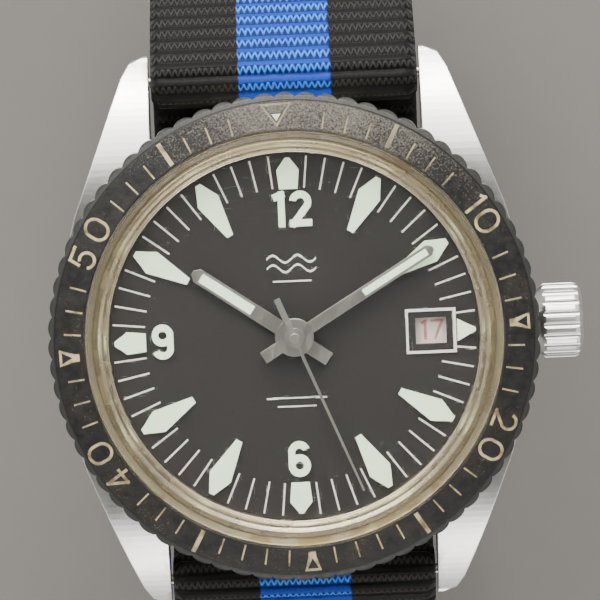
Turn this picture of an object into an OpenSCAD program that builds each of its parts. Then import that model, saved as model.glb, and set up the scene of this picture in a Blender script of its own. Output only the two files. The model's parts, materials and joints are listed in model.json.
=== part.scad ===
// Mechanical dive watch on a single-pass ribbed nylon strap, closed as it is worn.
// +Z comes out of the dial, +Y points to 12 o'clock and +X to the crown.
// The origin is on the plane that the closed strap stands on, straight under the dial centre.

/* [Case] */
// Diameter of the rotating bezel, the widest round part
bezel_d = 36; // [34:0.5:38]
// Width between the lugs, which is the strap size
lug_gap = 20; // [18:0.5:20]
// Length of the case from lug tip to lug tip
lug_to_lug = 41; // [40:0.5:44]
// Width of one lug at its tip
lug_tip_w = 2; // [1.6:0.1:2.4]
// Number of rounded grips around the bezel
bezel_grips = 72; // [48:6:90]

/* [Crown] */
// Diameter of the crown
crown_d = 5.5; // [4.5:0.1:6]
// Length of the crown's grip
crown_len = 3.5; // [2.5:0.1:4]
// Number of flutes on the crown
crown_flutes = 20; // [12:1:24]
// How far the crown pulls out to set the time
crown_travel = 0.9; // [0.5:0.1:1.2]

/* [Dial and hands] */
// Visible diameter of the dial
dial_view_d = 27; // [26:0.5:27.5]
// Length of the hour hand from the centre
hour_len = 8.8; // [7:0.1:9]
// Length of the minute hand from the centre
minute_len = 12; // [11:0.1:12.5]
// Length of the seconds hand from the centre
second_len = 12.3; // [11:0.1:12.6]
// Angle of the hour hand, clockwise from 12
hour_angle = 305; // [0:1:359]
// Angle of the minute hand, clockwise from 12
minute_angle = 59; // [0:1:359]
// Angle of the seconds hand, clockwise from 12
second_angle = 158; // [0:1:359]
// Day of the month that shows in the window
day_shown = 17; // [1:1:31]

/* [Strap] */
// Thickness of the woven strap
strap_t = 1.2; // [1:0.1:1.4]
// Gap between the strap and each lug
strap_side_gap = 0.2; // [0.1:0.1:0.5]
// Height of the case back above the plane the strap stands on
lift = 44; // [42:1:50]
// Bend radius of the strap beside the wrist
side_bend_r = 32; // [28:1:36]
// Length of the strap's tail past the buckle pin
tail_len = 52; // [40:1:60]

/* [Hidden] */
$fn = 64;
eps = 0.01;

// Heights above the case back's outer face
back_t = 0.8;
wall_bottom = 0.7;
wall_top = 6.5;
dial_z = 5.9;
dial_t = 0.4;
dial_top = dial_z + dial_t;
stem_z = 3.8;

// Radii
case_r = 17.3;
bore_r = 13.2;
crystal_r = 15.2;
neck_t = 0.5;
neck_top = 7.4;
lug_x = lug_gap / 2;
bar_r = 0.75;
bar_y = 18.7;
bar_z = 1.9;
strap_w = lug_gap - 2 * strap_side_gap;

// Bezel: a sloping ring that clips over the neck of the case
bezel_r = bezel_d / 2;
bezel_z0 = 6.7;
bezel_in_r = crystal_r + 0.12;
bezel_slope_z = [8.65, 8.24];
bezel_slope_r = [15.45, 17.5];
engrave_t = 0.15;
engrave_h = 1.94;
engrave_w = 0.23;
engrave_mid_r = (bezel_slope_r[0] + bezel_slope_r[1]) / 2;
bezel_offset = 2.3;
lobe_r = 1.15;

function polar(r, a) = [r * cos(a), r * sin(a)];
function clock(r, a) = [r * sin(a), r * cos(a)];

// Places child shapes at the height of the case back
module at_case(z = 0) translate([0, 0, lift + z]) children();

// A vertical tube or disc on the Z axis between two heights above the case back
module tube(r, z0, z1, hole = 0) at_case(z0) difference() {
    cylinder(r = r, h = z1 - z0);
    if (hole > 0) translate([0, 0, -eps]) cylinder(r = hole, h = z1 - z0 + 2 * eps);
}

// Copies child shapes around the dial at clock angles, pointing outward
module around(angles) for (a = angles) rotate([0, 0, -a]) children();

// ---------- Numerals drawn as strokes in a box 1 wide and 1.6 high ----------

module stroke(a, b, w) {
    d = b - a;
    translate(a) rotate([0, 0, atan2(d[1], d[0])])
        translate([-w / 2, -w / 2]) square([norm(d) + w, w]);
}

module ring(r0, r1) difference() {
    circle(r = r1, $fn = 32);
    circle(r = r0, $fn = 32);
}

// Part of a ring between two angles, or a whole one
module stroke_arc(c, r, w, a0, a1) translate(c) {
    if (a1 - a0 >= 360) ring(r - w / 2, r + w / 2);
    else intersection() {
        ring(r - w / 2, r + w / 2);
        sector(a0, a1, 3 * (r + w));
    }
}

// An upright slot shape: circles of radius r at two heights, and all between them
module stadium(r, y0, y1) {
    for (y = [y0, y1]) translate([0, y]) circle(r = r, $fn = 32);
    translate([-r, y0]) square([2 * r, y1 - y0]);
}

// One digit of stroke width w. Digits wider than the box keep its height.
module digit(n, w, wide = 1) {
    r = wide / 2 - w / 2;
    if (n == 0) difference() {
        stadium(wide / 2, wide / 2, 1.6 - wide / 2);
        stadium(r - w / 2, wide / 2, 1.6 - wide / 2);
    }
    if (n == 1) {
        stroke([0.1, w / 2], [0.1, 1.6 - w / 2], w);
        stroke([-0.12, 1.36], [0.1, 1.6 - w / 2], w);
    }
    if (n == 2 || n == 3) {
        stroke_arc([0, 1.6 - wide / 2], r, w, n == 2 ? -40 : -90, 170);
        if (n == 2) {
            stroke([-r * 0.9, w / 2], [r * 0.74, 1.6 - wide / 2 - r * 0.66], w);
            stroke([-r, w / 2], [r, w / 2], w);
        }
    }
    if (n == 3) stroke_arc([0, 0.5], r, w, 190, 450);
    if (n == 4) {
        stroke([0.2, w / 2], [0.2, 1.6 - w / 2], w);
        stroke([-r, 0.45], [0.2, 1.6 - w / 2], w);
        stroke([-r, 0.45], [r, 0.45], w);
    }
    if (n == 5) {
        stroke_arc([0, wide / 2], r, w, 200, 480);
        stroke([-r, wide / 2 + r * 0.8], [-r * 0.8, 1.6 - w / 2], w);
        stroke([-r * 0.8, 1.6 - w / 2], [r, 1.6 - w / 2], w);
    }
    if (n == 6 || n == 9) translate([0, n == 9 ? 1.6 : 0]) rotate([0, 0, n == 9 ? 180 : 0]) {
        stroke_arc([0, 0.5], r, w, 0, 360);
        stroke_arc([0, 1.1], r, w, 25, 180);
        stroke([-r, 0.5], [-r, 1.1], w);
    }
    if (n == 7) {
        stroke([-0.15, w / 2], [r, 1.6 - w / 2], w);
        stroke([-r, 1.6 - w / 2], [r, 1.6 - w / 2], w);
    }
    if (n == 8) {
        stroke_arc([0, 0.5], r, w, 0, 360);
        stroke_arc([0, 1.6 - 0.48], r - 0.02, w, 0, 360);
    }
}

// A number centred on the origin, of a given height and stroke
module number(n, h, w, spread = 1.15) {
    k = h / 1.6;
    wide = n > 9;
    scale(k) translate([0, -0.8]) {
        if (wide) translate([-spread / 2, 0]) digit(floor(n / 10), w / k);
        translate([wide ? spread / 2 : 0, 0]) digit(n % 10, w / k);
    }
}

// ---------- Case ----------

// Outline of one lug in plan: straight outer edge, cut corner at the tip
module lug_plan() polygon([
    [lug_x, 8], [16.1, 8], [15.7, 9.4], [lug_x + lug_tip_w, 19.1],
    [lug_x + lug_tip_w - 0.6, lug_to_lug / 2 - 0.4], [lug_x + 0.4, lug_to_lug / 2], [lug_x, lug_to_lug / 2]]);

// Side profile of a lug in Y and Z: the top falls in a curve to the tip
module lug_side() {
    n = 24;
    top = [for (i = [0:n]) let (t = i / n) [9 + 11.3 * t, 6.2 - 4.42 * pow(t, 2.4)]];
    tip = [for (a = [50:-14:-90]) [19.9 + cos(a), 0.9 + sin(a)]];
    polygon(concat([[8, wall_bottom + 0.2], [8, 6.2]], top, tip, [[15.5, wall_bottom + 0.2]]));
}

module lugs() for (sx = [0, 1], sy = [0, 1]) mirror([sx, 0, 0]) mirror([0, sy, 0]) intersection() {
    translate([0, 0, -1]) linear_extrude(8) lug_plan();
    translate([lug_x, 0, 0]) rotate([90, 0, 90]) linear_extrude(8) lug_side();
}

module case_middle() color("gainsboro") at_case() difference() {
    union() {
        intersection() {
            rotate_extrude($fn = 120) polygon([
                [0, wall_bottom], [15.6, wall_bottom], [17, 1.7], [case_r, 2.3], [case_r, 5.9],
                [16.7, wall_top], [crystal_r + 0.02 + neck_t, wall_top], [crystal_r + 0.02 + neck_t, 6.9],
                [crystal_r + neck_t - 0.1, 7.0], [crystal_r + neck_t - 0.1, neck_top], [0, neck_top]]);
            union() {
                translate([-19, -16.3, 0]) cube([38, 32.6, 9]);
                translate([0, 0, wall_top]) cylinder(r = 19, h = 3);
            }
        }
        lugs();
        translate([17, 0, stem_z]) rotate([0, 90, 0]) cylinder(r = 1.5, h = 0.55);
    }
    // Seat of the crystal, the dial and the movement, then the case back's opening
    translate([0, 0, wall_top]) cylinder(r = crystal_r + 0.02, h = 2);
    translate([0, 0, dial_z - 0.02]) cylinder(r = 14.2, h = 2);
    translate([0, 0, -0.1]) cylinder(r = bore_r, h = 7);
    translate([0, 0, -0.1]) cylinder(r = 14.32, h = 2);
    translate([0, 0, wall_bottom - 0.1]) cylinder(r = 14.9, h = 0.35);
    // Hole for the crown tube and the four spring bar sockets
    translate([12, 0, stem_z]) rotate([0, 90, 0]) cylinder(r = 0.9, h = 8);
    for (sx = [-1, 1], sy = [-1, 1]) translate([sx * (lug_x - 0.1), sy * bar_y, bar_z])
        rotate([0, sx * 90, 0]) cylinder(r = 0.42, h = 1.1);
}

// Back with a threaded skirt, six wrench notches and a raised centre
module case_back() color("silver") at_case() difference() {
    union() {
        rotate_extrude($fn = 120) polygon([
            [0, 0], [11.5, 0], [11.9, 0.15], [15.1, 0.15], [15.4, 0.35], [15.4, wall_bottom - 0.02],
            [14.3, wall_bottom - 0.02], [14.3, 1.85], [13.6, 1.85], [13.6, back_t], [0, back_t]]);
    }
    for (i = [0:5]) rotate([0, 0, 60 * i]) translate([13.3, -1, -0.2]) cube([3, 2, 0.65]);
    translate([0, 0, -0.1]) difference() {
        cylinder(r = 10.9, h = 0.2);
        translate([0, 0, -0.1]) cylinder(r = 10.6, h = 0.4);
    }
}

module case_back_gasket() color("dimgray") at_case(wall_bottom + 0.12)
    rotate_extrude() translate([14.6, 0]) circle(r = 0.12, $fn = 24);

module crown_tube() color("silver") at_case(stem_z) translate([13.3, 0, 0]) rotate([0, 90, 0])
    difference() {
        union() {
            cylinder(r = 0.88, h = 4.4);
            translate([0, 0, 4.27]) cylinder(r = 1.25, h = 1.5);
        }
        translate([0, 0, -0.1]) cylinder(r = 0.55, h = 6.5);
    }

module crown_gasket() color("black") at_case(stem_z) translate([18.3, 0, 0]) rotate([0, 90, 0])
    rotate_extrude() translate([1.42, 0]) circle(r = 0.14, $fn = 24);

// Domed acrylic crystal with a vertical wall that the tension ring braces
dome_base = 8.95;
dome_h = 1.75;
dome_r = (pow(crystal_r - 0.35, 2) + dome_h * dome_h) / (2 * dome_h);
function dome(z_top, rad, r_end, n = 14) =
    [for (i = [0:n]) let (r = r_end * (1 - i / n)) [r, z_top - rad + sqrt(rad * rad - r * r)]];

module crystal() color([0.85, 0.92, 0.95, 0.35]) at_case() rotate_extrude($fn = 120) polygon(concat(
    [[14.65, wall_top + 0.02], [crystal_r, wall_top + 0.02], [crystal_r, 8.7], [15.08, 8.88]],
    dome(dome_base + dome_h, dome_r, crystal_r - 0.35),
    [for (i = [14:-1:0]) dome(dome_base + dome_h - 1.1, dome_r, 14.3)[i]],
    [[14.65, 7.75]]));

module tension_ring() color("tan") at_case() rotate_extrude($fn = 120) polygon([
    [dial_view_d / 2, dial_top + 0.02], [14.15, dial_top + 0.02], [14.15, wall_top + 0.02],
    [14.6, wall_top + 0.02], [14.6, 7.7], [14.25, 7.7],
    [14.0, 7.35], [13.85, 7.35], [13.7, 6.95], [dial_view_d / 2 + 0.05, 6.9]]);

// Ring that centres the movement in the case, with a gap for the stem
module movement_ring() color("lightgray") difference() {
    tube(bore_r - 0.03, 1.9, 4.6, 12.83);
    at_case(stem_z) translate([10, 0, 0]) rotate([0, 90, 0]) cylinder(r = 1.4, h = 5);
}

// Spring bars: a sleeve with two sprung pins that reach into the lugs
module spring_bars() color("silver") for (sy = [-1, 1]) at_case(bar_z) translate([0, sy * bar_y, 0])
    rotate([0, 90, 0]) {
        translate([0, 0, -lug_x + 0.9]) cylinder(r = bar_r, h = lug_gap - 1.8);
        translate([0, 0, -lug_x + 0.35]) cylinder(r = 0.6, h = lug_gap - 0.7);
        translate([0, 0, -lug_x - 0.9]) cylinder(r = 0.4, h = lug_gap + 1.8);
    }

// ---------- Bezel ----------

// A thin band that follows the sloping top, where the engraving lies
module engraving_band(depth, rise) at_case() rotate_extrude($fn = 120) polygon([
    [bezel_slope_r[0] - 0.2, bezel_slope_z[0] + 0.04 - depth],
    [bezel_slope_r[1] + 0.2, bezel_slope_z[1] - 0.04 - depth],
    [bezel_slope_r[1] + 0.2, bezel_slope_z[1] - 0.04 + rise],
    [bezel_slope_r[0] - 0.2, bezel_slope_z[0] + 0.04 + rise]]);

// A radial tick with rounded-off shape, from inner radius r0, of length l
module tick(r0, l, w) translate([-w / 2, r0]) square([w, l]);

// Long wedge mark for the quarters: a narrow foot that opens outward into a frame
module quarter_mark() {
    polygon([[-0.27, 15.7], [0.27, 15.7], [0.3, 16.1], [0.62, 17.2], [-0.62, 17.2], [-0.3, 16.1]]);
}

module quarter_gap() polygon([[0, 16.25], [0.4, 17.0], [-0.4, 17.0]]);

// The four numbers of the bezel, with their tops outward. Each digit stands on the dial's centre.
module bezel_numbers() for (n = [10, 20, 40, 50], side = [-1, 1]) {
    figure = side < 0 ? n / 10 : 0;
    apart = n == 10 ? 2.7 : 4.1;
    k = engrave_h / 1.6;
    rotate([0, 0, -6 * n - side * apart]) translate([0, engrave_mid_r - engrave_h / 2])
        scale(k) digit(figure, engrave_w / k, figure == 0 ? 1.28 : 1.1);
}

module bezel_marks_plan() {
    short = [for (m = [1:59]) if (m % 5 != 0) m];
    for (m = short) rotate([0, 0, -6 * m])
        if (m % 10 != 9 && m % 10 != 1 || abs(m - 30) < 2) tick(15.55, 1.25, 0.13);
    for (m = [5, 25, 35, 55]) rotate([0, 0, -6 * m]) tick(15.55, 1.85, 0.34);
    for (m = [15, 30, 45]) rotate([0, 0, -6 * m]) difference() {
        quarter_mark();
        quarter_gap();
    }
    bezel_numbers();
    zero_mark();
}

// Outline of the zero triangle, with a clear spot for the pip
module zero_mark() {
    difference() {
        polygon([[-1.2, 17.35], [1.2, 17.35], [0, 15.6]]);
        polygon([[-0.92, 17.2], [0.92, 17.2], [0, 15.88]]);
    }
}

module bezel_marks_cut() rotate([0, 0, bezel_offset]) at_case() linear_extrude(12) bezel_marks_plan();

module bezel_markings() color("goldenrod") intersection() {
    bezel_marks_cut();
    engraving_band(engrave_t, -0.02);
}

module bezel_profile() polygon([
    [15.9, bezel_z0], [17.6, bezel_z0], [bezel_r, 7.0], [bezel_r, 7.62], [17.82, 7.92], [17.54, 8.02],
    [bezel_slope_r[1], bezel_slope_z[1]], [bezel_slope_r[0], bezel_slope_z[0]],
    [bezel_in_r + 0.05, bezel_slope_z[0]], [bezel_in_r, 8.5], [bezel_in_r, neck_top + 0.1],
    [15.9, neck_top + 0.1]]);

module bezel_ring() color([0.1, 0.09, 0.08]) difference() {
    at_case() rotate_extrude($fn = 120) bezel_profile();
    at_case(bezel_z0 - 1) difference() {
        cylinder(r = bezel_r + 1, h = 4);
        for (i = [0:bezel_grips - 1]) rotate([0, 0, 360 * i / bezel_grips])
            translate([bezel_r - lobe_r, 0, -eps]) cylinder(r = lobe_r, h = 5, $fn = 24);
        translate([0, 0, -eps]) cylinder(r = bezel_r - lobe_r, h = 5);
    }
    intersection() {
        bezel_marks_cut();
        engraving_band(engrave_t, 1);
    }
    rotate([0, 0, bezel_offset]) at_case(8.1) linear_extrude(1) pip_plan(0.39, 15.95, 16.57);
}

// Luminous pip in a little pocket at the bezel's zero, a triangle that points inward
module pip_plan(half, y0, y1) polygon([[-half, y1], [half, y1], [0, y0]]);

module bezel_pip() color([0.85, 0.9, 0.75]) rotate([0, 0, bezel_offset]) at_case(8.12)
    linear_extrude(0.33) pip_plan(0.34, 16.01, 16.54);

// Wire spring that holds the bezel on the neck and gives it friction
module bezel_spring() color("silver") at_case(neck_top - 0.22) difference() {
    rotate_extrude() translate([15.77, 0]) circle(r = 0.1, $fn = 24);
    translate([13, -0.6, -1]) cube([4, 1.2, 2]);
}

// ---------- Dial ----------

window_x = 9.95;
frame_w = 3.65;
frame_h = 3.28;
frame_line = 0.2;
window_w = 2.25;
window_h = 1.96;
lume_t = 0.22;

module dial() color([0.2, 0.17, 0.15]) difference() {
    tube(14.1, dial_z, dial_top, 1.1);
    at_case(dial_z - 0.1) translate([window_x - window_w / 2, -window_h / 2, 0])
        cube([window_w, window_h, 1]);
}

// Raised white frame and the bevel inside it
module date_frame() color("white") at_case(dial_top) translate([window_x, 0, 0]) difference() {
    translate([-frame_w / 2, -frame_h / 2, 0]) cube([frame_w, frame_h, 0.12]);
    translate([-frame_w / 2 + frame_line, -frame_h / 2 + frame_line, -0.1])
        cube([frame_w - 2 * frame_line, frame_h - 2 * frame_line, 1]);
}

module date_bevel() color([0.12, 0.1, 0.09]) at_case(dial_top) translate([window_x, 0, 0]) difference() {
    translate([-frame_w / 2 + frame_line + 0.01, -frame_h / 2 + frame_line + 0.01, 0])
        cube([frame_w - 2 * frame_line - 0.02, frame_h - 2 * frame_line - 0.02, 0.06]);
    translate([-window_w / 2, -window_h / 2, -0.1]) cube([window_w, window_h, 1]);
}

// Kite-shaped hour mark with a blunt outer tip
module kite() polygon([
    [-0.25, 8.7], [0.25, 8.7], [0.875, 11.7], [0.2, 13.1], [-0.2, 13.1], [-0.875, 11.7]]);

// House-shaped mark above the numerals, and a short one at 3
module house() polygon([
    [-0.67, 10.8], [0.67, 10.8], [0.82, 12.2], [0.15, 13.1], [-0.15, 13.1], [-0.82, 12.2]]);

module house_short() polygon([[-0.82, 11.85], [0.82, 11.85], [0.12, 13.2], [-0.12, 13.2]]);

module dial_indices() color([0.83, 0.9, 0.8]) at_case(dial_top) linear_extrude(lume_t) {
    around([for (h = [1, 2, 4, 5, 7, 8, 10, 11]) 30 * h]) kite();
    around([0, 180, 270]) house();
    around([90]) house_short();
}

module dial_numerals() color([0.83, 0.9, 0.8]) at_case(dial_top) linear_extrude(lume_t) {
    translate([0.05, 9.35]) number(12, 2.6, 0.5, 0.95);
    translate([-9.6, 0]) number(9, 2.55, 0.5);
    translate([0, -9.05]) number(6, 2.6, 0.5);
}

// White line for every minute that has no hour mark
module minute_track() color("white") at_case(dial_top) linear_extrude(0.04)
    around([for (m = [0:59]) if (m % 5 != 0) 6 * m]) tick(10.9, 2.35, 0.13);

// Printed ornament: a small wave mark above the centre and plain rules below it
module wave(w, h, t, n = 16) {
    up = [for (i = [0:n]) [w * (i / n - 0.5), h * sin(720 * i / n) + t / 2]];
    down = [for (i = [n:-1:0]) [w * (i / n - 0.5), h * sin(720 * i / n) - t / 2]];
    polygon(concat(up, down));
}

module dial_printing() color("white") at_case(dial_top) linear_extrude(0.03) {
    translate([0, 5.7]) wave(3.6, 0.28, 0.16);
    translate([0, 5.0]) wave(3.6, 0.28, 0.16);
    translate([-1.4, 4.0]) square([2.8, 0.12]);
    translate([-2.2, -4.6]) square([4.4, 0.13]);
    translate([-1.4, -5.2]) square([2.8, 0.11]);
}

// Date ring under the dial, turned once a day, with the days printed on it
date_teeth = 31;
date_r_in = 8.4;
date_r_out = 12.0;
module date_ring() color("mistyrose") at_case(5.3) linear_extrude(0.3) difference() {
    circle(r = date_r_out, $fn = 96);
    circle(r = date_r_in, $fn = 96);
    for (i = [0:date_teeth - 1]) rotate([0, 0, 360 * (i + 0.5) / date_teeth])
        translate([date_r_in - 0.1, -0.45]) square([0.4, 0.9]);
}

module date_numerals() color("firebrick") at_case(5.6) linear_extrude(0.03)
    for (d = [1:date_teeth]) rotate([0, 0, 360 * (d - day_shown) / date_teeth])
        translate([window_x, 0]) number(d, 1.45, 0.18, 1.05);

// Sprung lever whose nose holds the date ring between its teeth
module date_jumper() color("silver") at_case(5.3) difference() {
    linear_extrude(0.25) {
        translate([-5.6, -4.4]) circle(r = 0.7, $fn = 24);
        stroke([-5.6, -4.4], [-7.4, -3.35], 0.35);
        stroke([-7.4, -3.35], [-7.55, -3.1], 0.3);
    }
    translate([-5.6, -4.4, -0.1]) cylinder(r = 0.25, h = 1, $fn = 24);
}

// ---------- Hands, drawn pointing to 12 and turned to the shown time ----------

hour_z = 6.62;
minute_z = 6.98;
second_z = 7.32;
hand_t = 0.16;

module hand_turn(a) rotate([0, 0, -a]) children();

slot_rim = 0.17;
// Flat hand of steel: a bar with a pointed end, a slot for the paint, a boss and a tail
module hand(len, w, tail, tail_w, boss, bore, slot0, slot1) difference() {
    union() {
        polygon([[-tail_w / 2, -tail], [tail_w / 2, -tail], [w / 2, 0], [w / 2, len - 0.4 * w],
            [0.15 * w, len], [-0.15 * w, len], [-w / 2, len - 0.4 * w], [-w / 2, 0]]);
        circle(r = boss);
    }
    circle(r = bore);
    if (slot1 > slot0) translate([-w / 2 + slot_rim, slot0])
        square([w - 2 * slot_rim, slot1 - slot0]);
}

module hour_hand() color("silver") at_case(hour_z) hand_turn(hour_angle)
    linear_extrude(hand_t) hand(hour_len, 1.07, 3, 1, 1.4, 0.84, 3.6, 8.1);
module hour_hand_lume() color([0.8, 0.88, 0.75]) at_case(hour_z + 0.02) hand_turn(hour_angle)
    linear_extrude(hand_t) translate([-0.355, 3.61]) square([0.71, 4.48]);
module minute_hand() color("silver") at_case(minute_z) hand_turn(minute_angle)
    linear_extrude(hand_t) hand(minute_len, 0.86, 2.7, 0.9, 1.4, 0.58, 6, 11.5);
module minute_hand_lume() color([0.8, 0.88, 0.75]) at_case(minute_z + 0.02) hand_turn(minute_angle)
    linear_extrude(hand_t) translate([-0.25, 6.01]) square([0.5, 5.48]);

module second_hand() color("silver") at_case(second_z) hand_turn(second_angle) difference() {
    union() {
        linear_extrude(0.12) {
            polygon([[-0.12, 0], [0.12, 0], [0.07, second_len], [-0.07, second_len]]);
            translate([-0.225, -3.15]) square([0.45, 3.15]);
            circle(r = 0.73);
        }
        cylinder(r = 0.35, h = 0.24);
    }
    translate([0, 0, -0.1]) cylinder(r = 0.2, h = 0.26);
}

// ---------- Movement: places of the wheels ----------

centre_at = [0, 0];
barrel_a = 60;
barrel_at = polar(6.3, barrel_a);
third_a = 150;
third_at = polar(5.4, third_a);
escape_a = 250;
fourth_m = 0.118;
escape_at = polar((80 + 8) / 2 * fourth_m, escape_a);
balance_at = polar(8.3, 300);
pallet_at = escape_at + 2.75 * (balance_at - escape_at) / norm(balance_at - escape_at);
pallet_a = atan2(balance_at[1] - escape_at[1], balance_at[0] - escape_at[0]);
minute_a = 215;
minute_at = polar(3.6, minute_a);
crown_wheel_at = [8.6, 0];
ratchet_a = atan2(crown_wheel_at[1] - barrel_at[1], crown_wheel_at[0] - barrel_at[0]);
ratchet_m = 2 * norm(crown_wheel_at - barrel_at) / (49 + 28);
plate_r = 12.8;
rim_in_r = 11.95;
plate_z0 = 3.95;
plate_z1 = 4.7;
bridge_z0 = 1.2;
bridge_z1 = 1.6;
screw_angles = [20, 85, 118, 160, 200, 245, 283, 345];
jewel_places = [third_at, escape_at, pallet_at, balance_at];

// Turn of wheel B so that its teeth fall in the gaps of wheel A, seen along the angle phi from A
function mate(phi, rot_a, za, zb) = phi + 180 + ((phi - rot_a) * za / 360 - 0.5) * 360 / zb;

// Plan of a wheel with z straight-sided teeth of module m
module gear_plan(z, m, rot = 0) {
    root = z * m / 2 - 1.15 * m;
    tip = z * m / 2 + 0.85 * m;
    p = 360 / z;
    rotate([0, 0, rot]) polygon([for (i = [0:z - 1]) each [
        polar(root, (i - 0.3) * p), polar(tip, (i - 0.11) * p),
        polar(tip, (i + 0.11) * p), polar(root, (i + 0.3) * p)]]);
}

module gear(z, m, z0, z1, rot = 0, at = [0, 0], hole = 0, spokes = 0) at_case(z0)
    translate([at[0], at[1], 0]) linear_extrude(z1 - z0) difference() {
        gear_plan(z, m, rot);
        if (hole > 0) circle(r = hole, $fn = 32);
        if (spokes > 0) difference() {
            circle(r = z * m / 2 - 4 * m);
            circle(r = 0.9);
            for (i = [0:spokes - 1]) rotate([0, 0, 360 * i / spokes]) translate([0, -0.22]) square([9, 0.44]);
        }
    }

module rod(at, r, z0, z1, hole = 0) translate([at[0], at[1], 0]) tube(r, z0, z1, hole, $fn = 32);

// Arbor with a thin pivot at each end
module arbor(at, r = 0.2) {
    rod(at, r, bridge_z1 + 0.03, plate_z0 - 0.03);
    rod(at, 0.08, bridge_z0 + 0.05, plate_z0 + 0.3);
}

module sector(a0, a1, r) polygon(concat([[0, 0]], [for (i = [0:8]) polar(r, a0 + (a1 - a0) * i / 8)]));

module plate_disc(r0 = 0) difference() {
    circle(r = plate_r, $fn = 96);
    if (r0 > 0) circle(r = r0);
}

module screw_holes(r, z0, z1) for (a = screw_angles) rod(polar(12.36, a), r, z0, z1);

// ---------- Movement: fixed pieces ----------

module main_plate() color("goldenrod") difference() {
    union() {
        tube(plate_r, plate_z0, plate_z1);
        tube(plate_r, bridge_z1 + 0.01, plate_z1, rim_in_r);
        tube(plate_r, plate_z1 - eps, 5.85, 12.1);
        tube(11.2, plate_z1 - eps, 5.27, 9.6);
        rod([-5.6, -4.4], 0.5, plate_z1 - eps, 5.28);
        rod([-5.6, -4.4], 0.23, plate_z1, 5.6);
        rod(minute_at, 0.25, plate_z1 - eps, 5.35);
    }
    rod(centre_at, 0.48, 3, 5);
    for (p = jewel_places) rod(p, 0.4, 3, 5);
    rod(barrel_at, 0.53, 3, 5);
    screw_holes(0.2, 1, 3);
    // Channel for the winding stem and its pinions
    at_case() translate([6.6, -1.35, 2.4]) cube([7, 2.7, 2.72]);
}

module barrel_bridge() color("gainsboro") difference() {
    at_case(bridge_z0) linear_extrude(bridge_z1 - bridge_z0) difference() {
        intersection() {
            plate_disc(2.6);
            sector(-22, 128, 20);
        }
    }
    rod(barrel_at, 0.53, 0, 3);
    rod(crown_wheel_at, 0.38, 0, 3);
    screw_holes(0.22, 0, 3);
}

module train_bridge() color("gainsboro") difference() {
    at_case(bridge_z0) linear_extrude(bridge_z1 - bridge_z0) union() {
        intersection() {
            plate_disc();
            sector(130, 272, 20);
        }
        circle(r = 2.4);
        translate(pallet_at) circle(r = 1.3);
    }
    for (p = [centre_at, third_at, escape_at, pallet_at]) rod(p, 0.4, 0, 3);
    screw_holes(0.22, 0, 3);
}

module balance_cock() color("gainsboro") difference() {
    at_case(bridge_z0) linear_extrude(bridge_z1 - bridge_z0) intersection() {
        plate_disc();
        union() {
            translate(balance_at) circle(r = 1.5);
            stroke(balance_at, polar(12.4, 283), 2.4);
        }
    }
    rod(balance_at, 0.4, 0, 3);
    screw_holes(0.22, 0, 3);
}

// Pressed-in ring jewels, each with a hole for a pivot
module jewels() color("crimson") {
    for (p = jewel_places) {
        rod(p, 0.39, plate_z0, plate_z0 + 0.3, 0.1);
        rod(p, 0.39, bridge_z0, bridge_z1, 0.1);
    }
    rod(centre_at, 0.39, bridge_z0, bridge_z1, 0.1);
}

module bridge_screws() color("steelblue") for (a = screw_angles) difference() {
    union() {
        rod(polar(12.36, a), 0.19, bridge_z0 - 0.05, 2.6);
        rod(polar(12.36, a), 0.4, bridge_z0 - 0.22, bridge_z0 - 0.01);
    }
    at_case(bridge_z0 - 0.3) translate(concat(polar(12.36, a), 0)) rotate([0, 0, 3 * a])
        translate([-0.5, -0.06, 0]) cube([1, 0.12, 0.14]);
}

// ---------- Movement: power and going train ----------

spring_turns = 9;
module spiral_plan(r0, r1, turns, t) {
    n = turns * 20;
    inner = [for (i = [0:n]) polar(r0 + (r1 - r0) * i / n - t / 2, 360 * turns * i / n)];
    outer = [for (i = [n:-1:0]) polar(r0 + (r1 - r0) * i / n + t / 2, 360 * turns * i / n)];
    polygon(concat(inner, outer));
}

module barrel_drum() color("khaki") difference() {
    union() {
        rod(barrel_at, 5.05, 2.8, 3.85);
        gear(72, 0.15, 3.5, 3.85, 0, barrel_at);
    }
    rod(barrel_at, 4.8, 2, 3.7);
    rod(barrel_at, 0.53, 2, 5);
}

module barrel_cover() color("khaki") rod(barrel_at, 4.79, 2.8, 2.92, 0.55);

module mainspring() color("slategray") at_case(2.98) translate(concat(barrel_at, 0))
    linear_extrude(0.66) spiral_plan(0.97, 4.7, spring_turns, 0.12);

module barrel_arbor() color("silver") {
    rod(barrel_at, 0.5, 0.93, 4.3);
    rod(barrel_at, 0.88, 2.95, 3.67);
}

module ratchet_wheel() color("silver")
    gear(49, ratchet_m, 0.93, 1.13, 0, barrel_at, 0.5);

module crown_wheel() color("silver") {
    gear(28, ratchet_m, 0.93, 1.13, mate(ratchet_a, 0, 49, 28), crown_wheel_at);
    rod(crown_wheel_at, 0.36, 1.13 - eps, 2.5);
    gear(24, 0.14, 2.45, 2.7, 0, crown_wheel_at);
}

// Sprung pawl that keeps the ratchet wheel from turning back
module click() color("silver") at_case(0.95) linear_extrude(0.18) {
    stroke([-2.9, 9.1], [-1.6, 7.95], 0.4);
    translate([-2.9, 9.1]) circle(r = 0.55, $fn = 24);
}

module centre_wheel() color("gold") difference() {
    union() {
        gear(80, 0.12, 2.45, 2.65, 0, centre_at, 0, 5);
        gear(12, 0.15, 2.65 - eps, 3.88, mate(barrel_a + 180, 0, 72, 12));
        rod(centre_at, 0.44, 2.45, 6.75);
    }
    rod(centre_at, 0.24, 2, 8);
}

module third_wheel() color("gold") {
    gear(75, 10.8 / 85, 2.05, 2.25, 0, third_at, 0, 5);
    gear(10, 0.12, 2.25 - eps, 2.72, mate(third_a, 0, 80, 10), third_at);
    arbor(third_at);
}

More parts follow.
